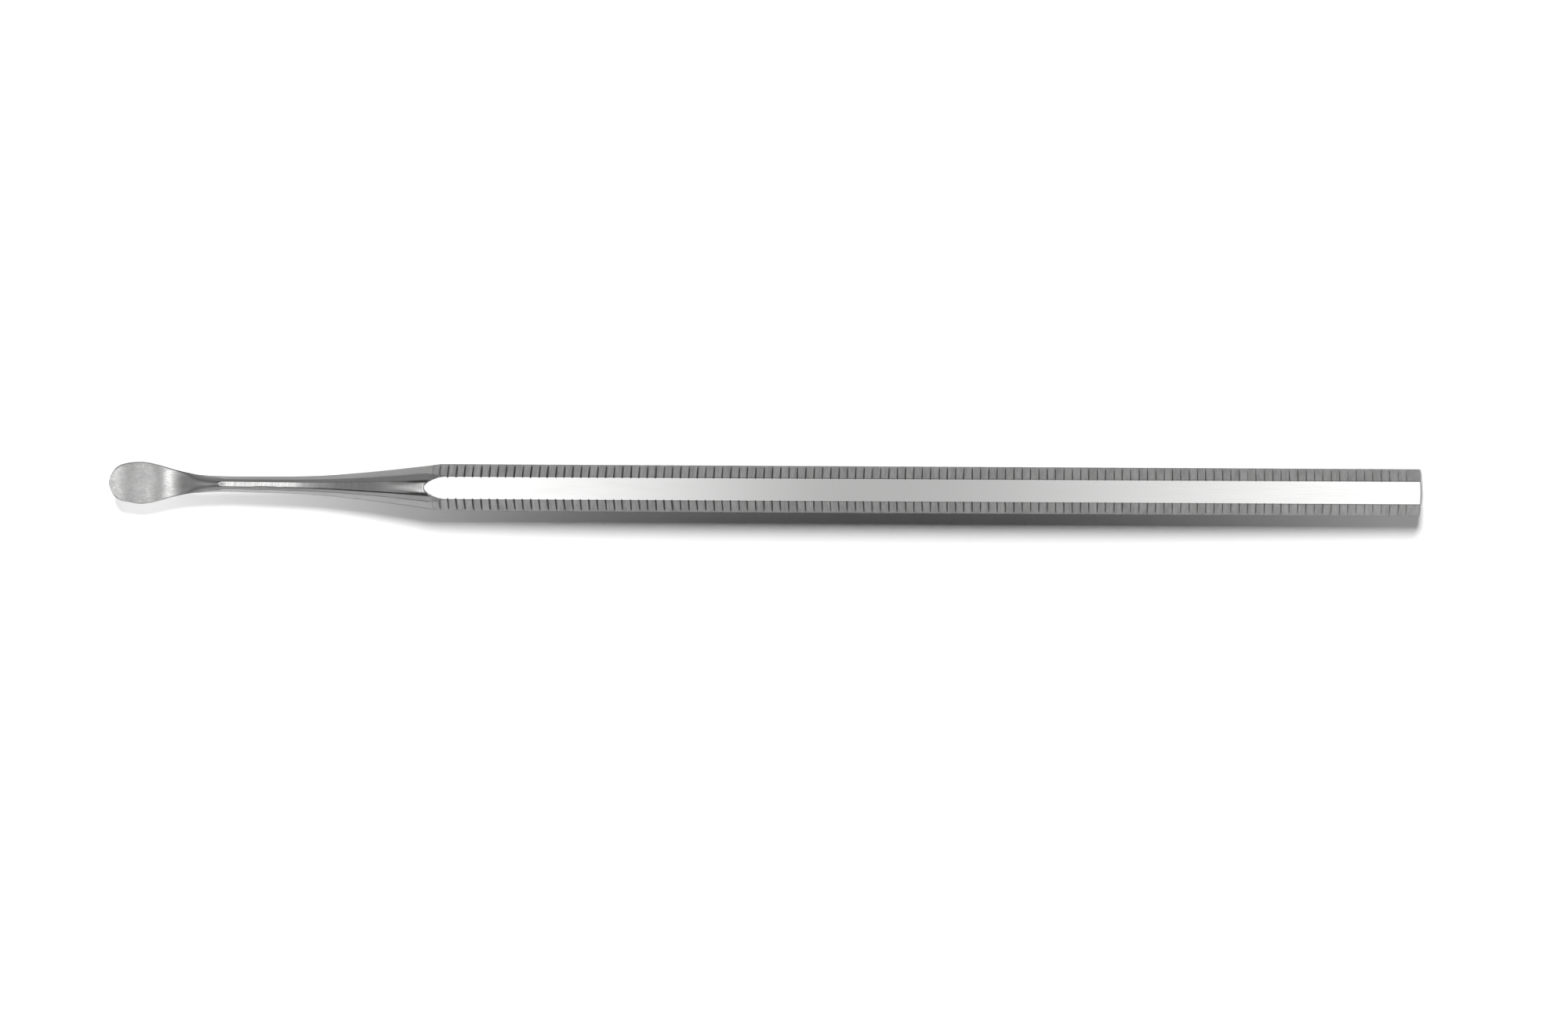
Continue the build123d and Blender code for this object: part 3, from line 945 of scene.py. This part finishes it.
OVERHEAD_WINDOW = [(-22, 0.0), (-12, 1.0), (10, 1.0), (20, 0.0)]
SIDES = [
    (-100, 0.1), (-84, 0.1), (-79, 0.9), (-74, 1.3), (-50, 1.3), (-27, 0.0),
    (28, 0.0), (36, 0.66), (90, 0.66), (100, 0.4),
]
SIDES_WINDOW = [(-38, 0.0), (-24, 1.0), (24, 1.0), (38, 0.0)]
ENDS = [(-90, 0.85), (-46, 0.75), (-38, 0.0), (38, 0.0), (46, 0.75), (90, 0.85)]
AMBIENT = 0.08
BRIGHTEST = 4.0                    # a colour ramp holds 0 to 1, so the brightness is stored as a share


def profile(value, points):
    """Straight lines through (degrees, brightness) points."""
    low, high = points[0][0], points[-1][0]
    place = sky.remap(value, low, high, 0.0, 1.0, kind="LINEAR")
    curve = sky.node("ShaderNodeValToRGB", {"Fac": place})
    curve.color_ramp.interpolation = "LINEAR"
    stops = curve.color_ramp.elements
    for index, (angle, brightness) in enumerate(points):
        place = (angle - low) / (high - low)
        stop = stops[0] if index == 0 else stops[-1] if index == len(points) - 1 else stops.new(place)
        stop.position = place
        stop.color = [brightness / BRIGHTEST] * 3 + [1]
    return sky.product(curve.outputs["Color"], BRIGHTEST)


x, y, z = (parts[name] for name in "XYZ")
along_x = sky.degrees_between(x, z)
along_y = sky.degrees_between(y, z)
towards_end = sky.degrees_between(x, sky.math("SQRT", sky.total(sky.product(y, y), sky.product(z, z))))
light = sky.total(
    sky.product(profile(along_x, OVERHEAD), profile(along_y, OVERHEAD_WINDOW)),
    sky.product(profile(along_y, SIDES), profile(towards_end, SIDES_WINDOW)),
    profile(towards_end, ENDS),
    AMBIENT,
)
background = world.node_tree.nodes["Background"]
world.node_tree.links.new(light, background.inputs["Color"])
background.inputs["Strength"].default_value = 1.0
world.cycles_visibility.diffuse = False      # the softboxes shape the steel, and the lamps light the floor

# The key light stands at +Y, and throws the shadow towards -Y.
KEY_STRENGTH = 5.3
KEY_WIDTH = math.radians(23)
KEY_HEIGHT = math.radians(51)

key_data = bpy.data.lights.new("key", "SUN")
key_data.energy = KEY_STRENGTH
key_data.angle = KEY_WIDTH
key = bpy.data.objects.new("key", key_data)
bpy.context.scene.collection.objects.link(key)
key_from = Vector((0.0, math.cos(KEY_HEIGHT), math.sin(KEY_HEIGHT)))
key.rotation_euler = key_from.to_track_quat("Z", "Y").to_euler()
key.visible_glossy = False


def soft_lamp(name, place_mm, size_mm, watts):
    """A square softbox that looks down at the instrument's axis and isn't seen in the steel."""
    lamp_data = bpy.data.lights.new(name, "AREA")
    lamp_data.shape = "SQUARE"
    lamp_data.size = size_mm * MM
    lamp_data.energy = watts
    lamp = bpy.data.objects.new(name, lamp_data)
    bpy.context.scene.collection.objects.link(lamp)
    lamp.location = Vector(place_mm) * MM
    lamp.rotation_euler = Vector((0.0, place_mm[1], place_mm[2])).to_track_quat("Z", "Y").to_euler()
    lamp.visible_glossy = False
    lamp.visible_camera = False


# Two small lamps lighten the shadow at the instrument's ends.
soft_lamp("fill_blade", (TIP_X + 4, -34, 28), 20, 0.026)
soft_lamp("fill_rear", (REAR_X + 10, -36, 30), 20, 0.010)

# The photographed view: from high above the handle, a little towards its rear and to +Y.
CAMERA_ABOVE = 1090.0
CAMERA_ALONG = 40.7
CAMERA_ACROSS = 26.5
AIM_ALONG = 2.39
AIM_ACROSS = -2.47
IMAGE_TURN = 0.262
FRAME_WIDTH = 190.72
SENSOR_WIDTH = 36.0

middle_x = (TIP_X + REAR_X) / 2
eye = Vector((middle_x + CAMERA_ALONG, CAMERA_ACROSS, CAMERA_ABOVE)) * MM
aim = Vector((middle_x + AIM_ALONG, AIM_ACROSS, AXIS_Z)) * MM
camera_data = bpy.data.cameras.new("camera")
camera_data.sensor_width = SENSOR_WIDTH
camera_data.lens = SENSOR_WIDTH * (eye - aim).length / (FRAME_WIDTH * MM)
camera_data.clip_start = 0.01
camera_data.clip_end = 20.0
camera = bpy.data.objects.new("camera", camera_data)
bpy.context.scene.collection.objects.link(camera)
backward = (eye - aim).normalized()
up_hint = Vector((-math.sin(math.radians(IMAGE_TURN)), math.cos(math.radians(IMAGE_TURN)), 0))
right = up_hint.cross(backward).normalized()
up = backward.cross(right)
camera.matrix_world = Matrix.Translation(eye) @ Matrix((right, up, backward)).transposed().to_4x4()
bpy.context.scene.camera = camera
bpy.context.scene.view_settings.view_transform = "Standard"
